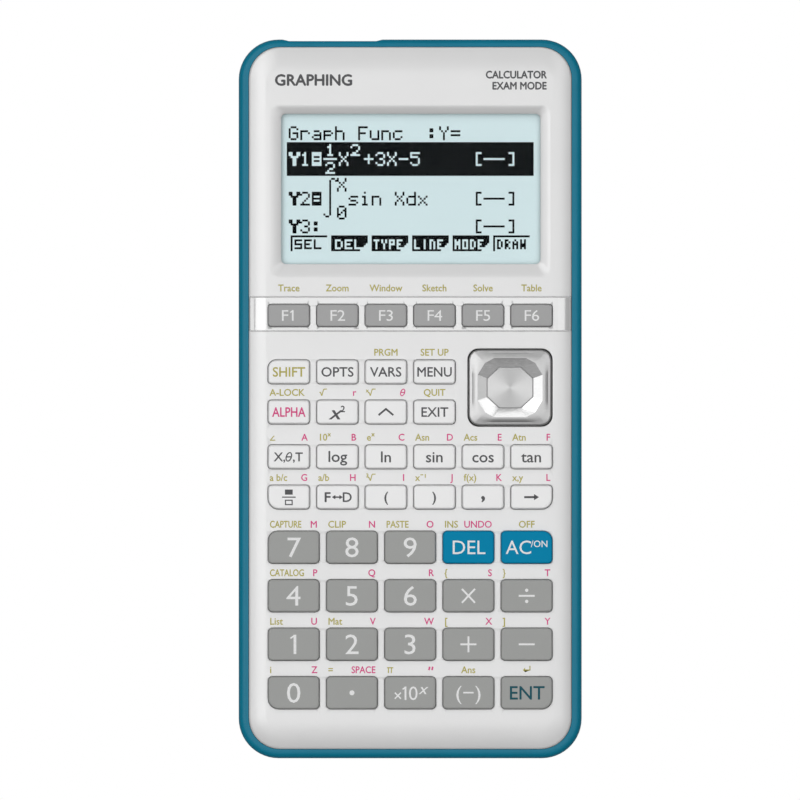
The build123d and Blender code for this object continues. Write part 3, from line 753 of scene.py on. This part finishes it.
def face_mesh():
    """The whole visible side of the front case as one surface with its openings."""
    low, high = node_box("front_case")
    box = (low.x, high.x, low.y, high.y)
    top, edge = high.z, FACE_EDGE
    points, faces, seams = [], [], []

    def height_at(x, y):
        return crown(x, y, box, top, edge)

    def add_rings(rings):
        """Strips between rings that run outwards, each an outline and how far it lies below the face."""
        starts = []
        for outline, drop in rings:
            starts.append(len(points))
            points.extend((x, y, height_at(x, y) - drop) for x, y in outline)
        count = len(rings[0][0])
        for inner, outer in zip(starts, starts[1:]):
            for i in range(count):
                j = (i + 1) % count
                faces.append((inner + i, outer + i, outer + j, inner + j))
        return [list(range(start, start + count)) for start in starts]

    def add_opening(hole, radii, gap, lip):
        seams.append(add_rings([(shrunk(hole, radii, -gap - out), drop) for out, drop in lip])[-1])
        holes.append((hole, radii, gap + lip[-1][0]))

    across = (-GROOVE_HALF, -0.06, 0.0, 0.06, GROOVE_HALF)
    grooves = [line + shift for line in BAND_LINES for shift in across]
    stops = grooves + [4.0 * k for k in range(-20, 21) if all(abs(4.0 * k - line) > 1 for line in BAND_LINES)]
    edge_rings = []
    for inset in EDGE_INSETS:
        ring = rounded(*edge_ring_box(box, inset), max(0.3, FACE_CORNER - inset), 14)
        edge_rings.append((split_sides(ring, stops), 0.1 if inset == 0.0 else 0.0))
    border = add_rings(edge_rings)[0]
    middle = edge_ring_box(box, EDGE_INSETS[0])
    seams.append(border)
    holes = []
    white_keys = {
        name for names, material, _slot in ROWS if material is WHITE_KEY for name in names.split()
    }
    for key in LEGENDS:
        add_opening(*key_plan(key), KEY_GAP if key in white_keys else TIGHT_KEY_GAP, KEY_LIP)
    pad_low, pad_high = node_box("cursor_pad")
    add_opening((pad_low.x, pad_high.x, pad_low.y, pad_high.y), [PAD_CORNER] * 4, PAD_GAP, PAD_LIP)
    inner, outer = rounded(*DISPLAY_OPENING, 1.2), rounded(*DISPLAY_FRAME, 2.0)
    sides = [4.0 * k for k in range(8, 18)]
    rings = [(blend(inner, outer, share), RECESS_DEPTH * drop) for share, drop in RECESS_PROFILE]
    seams.append(add_rings([(split_sides(ring, sides), drop) for ring, drop in rings])[-1])
    xs, ys = zip(*(points[i][:2] for i in seams[-1]))
    holes.append(((min(xs), max(xs), min(ys), max(ys)), [2.0] * 4, 0.0))
    # the flat part between all the seams
    flat = [index for seam in seams for index in seam]
    place = {index: k for k, index in enumerate(flat)}
    plan = [points[index][:2] for index in flat]
    edges = [(place[seam[i]], place[seam[(i + 1) % len(seam)]]) for seam in seams for i in range(len(seam))]
    for line in grooves:
        ends = sorted((points[i][0], i) for i in border if abs(points[i][1] - line) < 1e-6)
        left, right = ends[0], ends[-1]
        chain = [place[left[1]]]
        for k in range(1, GROOVE_PIECES):
            chain.append(len(plan))
            plan.append((left[0] + (right[0] - left[0]) * k / GROOVE_PIECES, line))
        chain.append(place[right[1]])
        edges += list(zip(chain, chain[1:]))
    out = geometry.delaunay_2d_cdt([Vector(p) for p in plan], edges, [], 0, 1e-6)
    own = []
    for vert, sources in zip(out[0], out[3]):
        source = next((k for k in sources if k < len(flat)), None)
        if source is None:
            own.append(len(points))
            points.append((vert.x, vert.y, height_at(vert.x, vert.y)))
        else:
            own.append(flat[source])
    for face in out[2]:
        x = sum(out[0][i].x for i in face) / len(face)
        y = sum(out[0][i].y for i in face) / len(face)
        if distance_inside(x, y, middle, 0.3)[0] < 1e-6:
            continue
        if not any(inside_hole(x, y, *hole) for hole in holes):
            faces.append(tuple(own[i] for i in face))
    return points, faces


def inside_hole(x, y, hole, radii, gap):
    """Whether a point lies in an opening whose edge stands this gap outside the box of its hole."""
    x0, x1, y0, y1 = hole[0] - gap, hole[1] + gap, hole[2] - gap, hole[3] + gap
    if not (x0 < x < x1 and y0 < y < y1):
        return False
    index = (0 if x < (x0 + x1) / 2 else 1) if y < (y0 + y1) / 2 else (3 if x < (x0 + x1) / 2 else 2)
    return distance_inside(x, y, (x0, x1, y0, y1), radii[index] + gap)[0] > 0


def build_face():
    points, faces = face_mesh()
    # walls: every open edge of the surface goes straight down
    used = {(a, b) for face in faces for a, b in zip(face, face[1:] + face[:1])}
    border = [(a, b) for a, b in used if (b, a) not in used]
    low_of = {}
    for a, b in sorted(border):
        for i in (a, b):
            if i not in low_of:
                low_of[i] = len(points)
                points.append((points[i][0], points[i][1], FACE_UNDERSIDE))
    walls = [(b, a, low_of[a], low_of[b]) for a, b in sorted(border)]
    slots = []
    band_low, band_high = BAND_LINES[1] + GROOVE_HALF, BAND_LINES[0] - GROOVE_HALF
    for face in faces:
        y = sum(points[i][1] for i in face) / len(face)
        slots.append(1 if band_low < y < band_high else 0)
    slots += [0] * len(walls)
    piece = make_piece("face", points, faces + walls, [WHITE_FACE, BAND], "root", sharp=38, face_slots=slots)
    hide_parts("front_case")


# ------------------------------------------------------------------------------- cursor pad
def many_sided(*quarter):
    """Corners of a symmetric polygon from those in its first quarter, top side first."""
    right = list(quarter) + [(x, -y) for x, y in reversed(quarter)]
    return right + [(-x, y) for x, y in reversed(right)]


def ray_hit(angle, outline):
    """Where a ray from the centre at this angle leaves a closed outline."""
    dx, dy = math.cos(angle), math.sin(angle)
    for i, (x1, y1) in enumerate(outline):
        x2, y2 = outline[(i + 1) % len(outline)]
        ex, ey = x2 - x1, y2 - y1
        det = ex * dy - ey * dx
        if abs(det) < 1e-12:
            continue
        reach = (ex * y1 - ey * x1) / det
        share = (dx * y1 - dy * x1) / det
        if reach > 0 and -1e-9 <= share <= 1 + 1e-9:
            return dx * reach, dy * reach
    raise ValueError("the outline is not closed around the centre")


def build_pad():
    """Rocking plate with a rolled edge, twelve facets down into its dish and a spun centre."""
    low, high = node_box("cursor_pad")
    cx, cy = (low.x + high.x) / 2, (low.y + high.y) / 2
    half_x, half_y = (high.x - low.x) / 2 - PAD_INSET, (high.y - low.y) / 2 - PAD_INSET
    top = high.z
    skirt = low.z + 0.45  # stays clear of the domes below when the pad rocks
    mouth = many_sided((3.85, 7.2), (6.1, 6.0), (7.9, 3.1))
    floor = many_sided((2.7, 5.05), (5.7, 2.3))
    angles = {round(math.radians(a), 6) for a in range(-180, 180, 5)}
    angles |= {round(math.atan2(y, x), 6) for x, y in mouth}
    angles = sorted(angles)
    rings = []
    profile = [(0.0, skirt), (0.0, top - 1.2), (0.06, top - 0.92), (0.16, top - 0.73), (0.32, top - 0.62)]
    profile += [(0.52, top - 0.55), (0.8, top - 0.5)]
    for inset, z in profile:
        corner = PAD_CORNER - inset * 0.8
        outline = rounded(-half_x + inset, half_x - inset, -half_y + inset, half_y - inset, corner, 8)
        rings.append([(*ray_hit(a, outline), z) for a in angles])
    outer = [(x, y) for x, y, _z in rings[-1]]
    rim = [ray_hit(a, mouth) for a in angles]
    for share in (0.25, 0.5, 0.75, 1.0):
        lift = (top - 0.5) + 0.46 * math.sin(share * math.pi / 2)
        rings.append([(x, y, lift) for x, y in blend(outer, rim, share)])
    points, faces = loft(rings, close_high=False)
    slots = [0] * len(faces)
    rim_start = (len(rings) - 1) * len(angles)
    lip = top - 0.04
    depth = 1.05
    floor_start = len(points)
    points += [(x, y, lip - depth) for x, y in floor]
    # facets between the mouth's twelve sides and the floor's eight
    corner_of = {}
    for index, angle in enumerate(angles):
        for k, (x, y) in enumerate(mouth):
            if abs(angle - round(math.atan2(y, x), 6)) < 1e-9:
                corner_of[k] = index

    def run(first, last):
        """Rim points from one mouth corner round to the next, clockwise."""
        i, j = corner_of[first], corner_of[last]
        found = [i]
        while i != j:
            i = (i - 1) % len(angles)
            found.append(i)
        return [rim_start + k for k in found]

    # mouth corners run clockwise from the top side's right end, and each is joined to one floor corner
    joined_to = (0, 0, 1, 2, 3, 3, 4, 4, 5, 6, 7, 7)
    for k, here in enumerate(joined_to):
        after = (k + 1) % len(joined_to)
        there = joined_to[after]
        corners = [there] if here == there else [there, here]
        faces.append((*run(k, after), *(floor_start + i for i in corners)))
        slots.append(1)
    # the spun floor stands a hair above a narrow groove
    ring = [(x * 0.975, y * 0.975, lip - depth - 0.12) for x, y in floor]
    plate = [(x * 0.95, y * 0.95, lip - depth) for x, y in floor]
    for outline in (ring, plate):
        start = len(points)
        points += outline
        before = start - 8
        for i in range(8):
            j = (i + 1) % 8
            faces.append((before + i, before + j, start + j, start + i)[::-1])
            slots.append(0)
    centre = len(points)
    points.append((0.0, 0.0, lip - depth + 0.06))
    start = centre - 8
    for i in range(8):
        faces.append((start + (i + 1) % 8, start + i, centre))
        slots.append(2)
    points = [(x + cx, y + cy, z) for x, y, z in points]
    piece = make_piece(
        "pad", points, faces, [PAD_SILVER, PAD_FACET, PAD_SPUN], "cursor_pad", (cx, cy, top), 12, slots
    )
    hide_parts("cursor_pad")


# ------------------------------------------------------------------------------- display
# strokes of a dot-matrix alphabet: each pair of digits is a point (column, row) on a 5 by 7 grid, and a
# space lifts the pen
STROKES = {
    "G": "41301001051636454323", "r": "0206 03123243", "a": "1232434616051444", "p": "0206 0232433404",
    "h": "0006 0312324346", "F": "400006 0333", "u": "02051636 4246", "n": "0206 0312324346",
    "c": "42120305163645", "i": "2020 122226 1636", "s": "4212031434453606", ":": "1121221211 1424251514",
    "Y": "00012326 404123", "=": "0242 0444", "X": "00014546 40410506", "1": "112026 1636",
    "2": "01103041420646", "3": "01103041423323 334445361605", "5": "400002324345361605",
    "0": "103041453616050110 0541", "+": "2125 0343", "-": "0343", "[": "30101636", "]": "10303616",
    "d": "4046 4332120305163645", "x": "0246 4206",
}
# the same for the soft keys, on a 3 by 5 grid
SMALL_STROKES = {
    "S": "200002222404", "E": "20000424 0212", "L": "000424", "D": "00041423211000", "T": "0020 1014",
    "Y": "00011214 202112", "P": "0400202202", "I": "1014", "N": "0400 0010 2124", "M": "0400 2024 1112",
    "R": "040010211202 1224", "A": "0401102124 0222", "W": "0004 2024 1213", "O": "0400202404",
}
COLUMNS, LINES = 128, 64
DOTS_WIDTH, DOTS_HEIGHT = 60.1, 30.9
DOTS_SHIFT_X, DOTS_SHIFT_Y = -0.15, 0.3  # middle of the dots from the middle of the display module
DOTS_LOW, DOTS_HIGH = 0.005, 0.03  # above the glass


class Screen:
    """Dots of the display that are on, as (column, row) from the top left."""

    def __init__(self):
        self.dots = set()

    def line(self, x0, y0, x1, y1):
        steps = max(abs(x1 - x0), abs(y1 - y0), 1)
        for step in range(steps + 1):
            share = step / steps
            self.dots.add((round(x0 + (x1 - x0) * share), round(y0 + (y1 - y0) * share)))

    def write(self, text, column, row, pitch=6, alphabet=STROKES, height=6, bold=False, widen=1.0):
        """Text from its top left dot; height is the last row of a letter on the 7-row grid."""
        for letter in text:
            for path in alphabet.get(letter, "").split():
                spots = [(int(path[i]), int(path[i + 1])) for i in range(0, len(path), 2)]
                pen = [(round(x * widen), round(y * height / 6)) for x, y in spots]
                for (x0, y0), (x1, y1) in zip(pen, pen[1:] or pen):
                    for shift in (0, 1) if bold else (0,):
                        self.line(column + x0 + shift, row + y0, column + x1 + shift, row + y1)
            column += pitch

    def fill(self, x0, y0, x1, y1, lit=True):
        block = {(x, y) for x in range(x0, x1 + 1) for y in range(y0, y1 + 1)}
        self.dots = self.dots | block if lit else self.dots - block

    def invert(self, x0, y0, x1, y1):
        self.dots ^= {(x, y) for x in range(x0, x1 + 1) for y in range(y0, y1 + 1)}

    def marker(self, column, row):
        """Block with an equals sign left out of it."""
        self.fill(column, row, column + 4, row + 6)
        for bar_row in (2, 4):
            self.fill(column + 1, row + bar_row, column + 3, row + bar_row, lit=False)

    def line_style(self, row):
        """Sample of a drawn line between square brackets."""
        self.write("[", 97, row)
        self.line(102, row + 3, 112, row + 3)
        self.write("]", 114, row)


def draw_screen():
    screen = Screen()
    screen.write("Graph Func", 1, 1)
    screen.write(":Y=", 73, 1)
    # first function, on a dark bar
    screen.write("Y", 1, 14, bold=True)
    screen.write("1", 7, 14)
    screen.marker(13, 14)
    screen.write("1", 20, 10, height=5)
    screen.line(19, 17, 25, 17)
    screen.write("2", 20, 19, height=5)
    screen.write("X", 27, 14)
    screen.write("2", 33, 10, height=5)
    screen.write("+3X-5", 40, 14)
    screen.line_style(14)
    screen.invert(0, 9, 127, 25)
    # second function, an integral
    screen.write("Y", 1, 34, bold=True)
    screen.write("2", 7, 34)
    screen.marker(13, 34)
    hooks = ((23, 27, 24, 27), (25, 28, 25, 28), (20, 46, 21, 46), (19, 45, 19, 45))
    for ends in ((22, 28, 22, 45), *hooks):
        screen.line(*ends)
    screen.write("X", 26, 27)
    screen.write("0", 26, 41)
    screen.write("sin Xdx", 32, 34)
    screen.line_style(34)
    # third function, empty
    screen.write("Y", 1, 48, bold=True)
    screen.write("3:", 7, 48)
    screen.line_style(48)
    # soft keys
    for index, label in enumerate(("SEL", "DEL", "TYPE", "LINE", "MODE", "DRAW")):
        start = 2 + 21 * index
        short = len(label) == 3
        boxed = index in (0, 5)
        column = start + 2 if short or boxed else start + 1
        screen.write(label, column, 58, 5 if short else 4, SMALL_STROKES, widen=1.5 if short else 1.0)
        if boxed:
            screen.line(start, 56, start + 18, 56)
            screen.line(start, 56, start, 63)
        else:
            screen.invert(start, 56, start + 18, 63)
            for cut in range(4):
                screen.fill(start + 15 + cut, 63 - cut, start + 18, 63 - cut, lit=False)
    return {(x, y) for x, y in screen.dots if 0 <= x < COLUMNS and 0 <= y < LINES}


def build_screen():
    """One thin slab to each run of dots, just above the display glass."""
    low, high = node_box("lcd_module")
    left = (low.x + high.x) / 2 + DOTS_SHIFT_X - DOTS_WIDTH / 2
    top = (low.y + high.y) / 2 + DOTS_SHIFT_Y + DOTS_HEIGHT / 2
    pitch_x, pitch_y = DOTS_WIDTH / COLUMNS, DOTS_HEIGHT / LINES
    dots = draw_screen()
    slabs = []
    for column, row in sorted(dots):
        if (column - 1, row) in dots:
            continue
        last = column
        while (last + 1, row) in dots:
            last += 1
        x0, x1 = left + column * pitch_x, left + (last + 1) * pitch_x
        y1 = top - row * pitch_y
        plan = [(x0, y1 - pitch_y), (x1, y1 - pitch_y), (x1, y1), (x0, y1)]
        slabs.append(loft([[(x, y, high.z + rise) for x, y in plan] for rise in (DOTS_LOW, DOTS_HIGH)]))
    points, faces = joined(slabs)
    make_piece("display_dots", points, faces, [LCD_DOT], "root")


# ------------------------------------------------------------------------------- carried-over CAD
def dress_nodes():
    """Materials of the CAD pieces that are shown as they are."""
    dressed = {
        "rear_case": BLUE_CASE,
        "battery_cover": BASE_BLUE,
        "display_window": WINDOW,
        "lcd_module": LCD_GLASS,
        "main_board": BOARD,
        "key_mat": RUBBER,
        "batteries": cell_sleeve(),
        "battery_contacts": CONTACT,
        "case_screws": SCREW,
        "port_sockets": SOCKET,
        "restart_button": RESTART,
        "cursor_pad_hub": RUBBER,
    }
    for name, material in dressed.items():
        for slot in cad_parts[name].material_slots:
            slot.material = material


# ------------------------------------------------------------------------------- studio
def softbox(name, place, size_x, size_y, radiance):
    """Rectangular light that faces down and looks equally bright from everywhere in front of it."""
    data = bpy.data.lights.new(name, "AREA")
    data.shape = "RECTANGLE"
    data.size, data.size_y = size_x, size_y
    data.energy = radiance * math.pi * size_x * size_y
    light = bpy.data.objects.new(name, data)
    light.location = place
    light.visible_camera = False
    bpy.context.scene.collection.objects.link(light)


def build_world(scene):
    """Room that is dark at table height and pale overhead. The camera itself sees plain white."""
    world = bpy.data.worlds.new("studio")
    scene.world = world
    world.use_nodes = True
    tree = world.node_tree
    direction = add(tree, "TexCoord").outputs["Generated"]
    upwards = add(tree, "SeparateXYZ", {"Vector": direction}).outputs["Z"]
    levels = ((0.0, 0.03), (0.35, 0.1), (0.75, 0.45), (1.0, 0.72))
    mix = add(tree, "MixRGB", {
        "Fac": add(tree, "LightPath").outputs["Is Camera Ray"],
        "Color1": ramp(tree, upwards, [(place, even_grey(level)) for place, level in levels]),
        "Color2": even_grey(1.0),
    })
    feed(tree, tree.nodes["Background"], {"Color": mix.outputs["Color"], "Strength": 1.0})


def pale_floor():
    """Matt grey that the camera sees as plain white, and that isn't there at all from below."""
    material, tree, shader = start_material("pale_floor")
    tone = ramp(tree, noise(tree, 30.0), [(0.3, even_grey(0.3)), (0.7, even_grey(0.34))])
    feed(tree, shader, {"Base Color": tone, "Roughness": 0.9})
    lit = add(tree, "MixShader", {
        "Fac": add(tree, "LightPath").outputs["Is Camera Ray"],
        1: shader.outputs["BSDF"],
        2: add(tree, "Emission").outputs["Emission"],
    })
    shown = add(tree, "MixShader", {
        "Fac": add(tree, "NewGeometry").outputs["Backfacing"],
        1: lit.outputs["Shader"],
        2: add(tree, "BsdfTransparent").outputs["BSDF"],
    })
    feed(tree, tree.nodes["Material Output"], {"Surface": shown.outputs["Shader"]})
    return material


# name, place, size along X and Y, and radiance, in metres
LIGHTS = (
    ("left_box", (-0.705, 0.45, 1.5), 0.77, 1.8, 1.66),
    ("right_box", (0.82, 0.45, 1.5), 0.55, 1.8, 1.1),
    ("middle_strip", (0.127, 0.0, 1.52), 0.83, 0.5, 0.98),
    ("display_end_box", (0.0, 1.9, 1.5), 3.2, 0.8, 1.0),
    ("left_panel", (-1.6, 0.45, 1.5), 0.8, 1.3, 1.15),
    ("right_panel", (1.97, 0.3, 1.5), 0.36, 0.8, 0.7),
    ("key_end_box", (0.1, -0.62, 1.5), 1.0, 0.4, 0.42),
)
FLOOR_HALF, FLOOR_DROP = 2.5, 0.06
FRAME_WIDTH = 0.1946  # what the camera sees at the key face
CAMERA_HEIGHT = 4.0


def build_studio():
    """Seven softboxes about 1.5 m over the table, the strongest on the left, and a floor under them."""
    scene = bpy.context.scene
    scene.view_settings.view_transform = "Standard"
    build_world(scene)
    for light in LIGHTS:
        softbox(*light)
    ways = ((-1, -1), (1, -1), (1, 1), (-1, 1))
    corners = [(x * FLOOR_HALF, y * FLOOR_HALF, -FLOOR_DROP) for x, y in ways]
    mesh = bpy.data.meshes.new("floor")
    mesh.from_pydata(corners, [], [(0, 1, 2, 3)])
    mesh.materials.append(pale_floor())
    floor = bpy.data.objects.new("floor", mesh)
    scene.collection.objects.link(floor)


def build_camera():
    """Long lens high above the key face, framed a little left of and below the calculator's centre."""
    data = bpy.data.cameras.new("camera")
    data.sensor_width = 36.0
    data.lens = data.sensor_width * CAMERA_HEIGHT / FRAME_WIDTH
    data.clip_start, data.clip_end = 0.05, 20.0
    camera = bpy.data.objects.new("camera", data)
    camera.location = (-0.00248, -0.00027, CAMERA_HEIGHT + cad_box[1][2])
    bpy.context.scene.collection.objects.link(camera)
    bpy.context.scene.camera = camera


build_camera()
build_studio()
dress_nodes()
build_face()
build_keys()
build_legends()
build_prints()
build_pad()
build_screen()
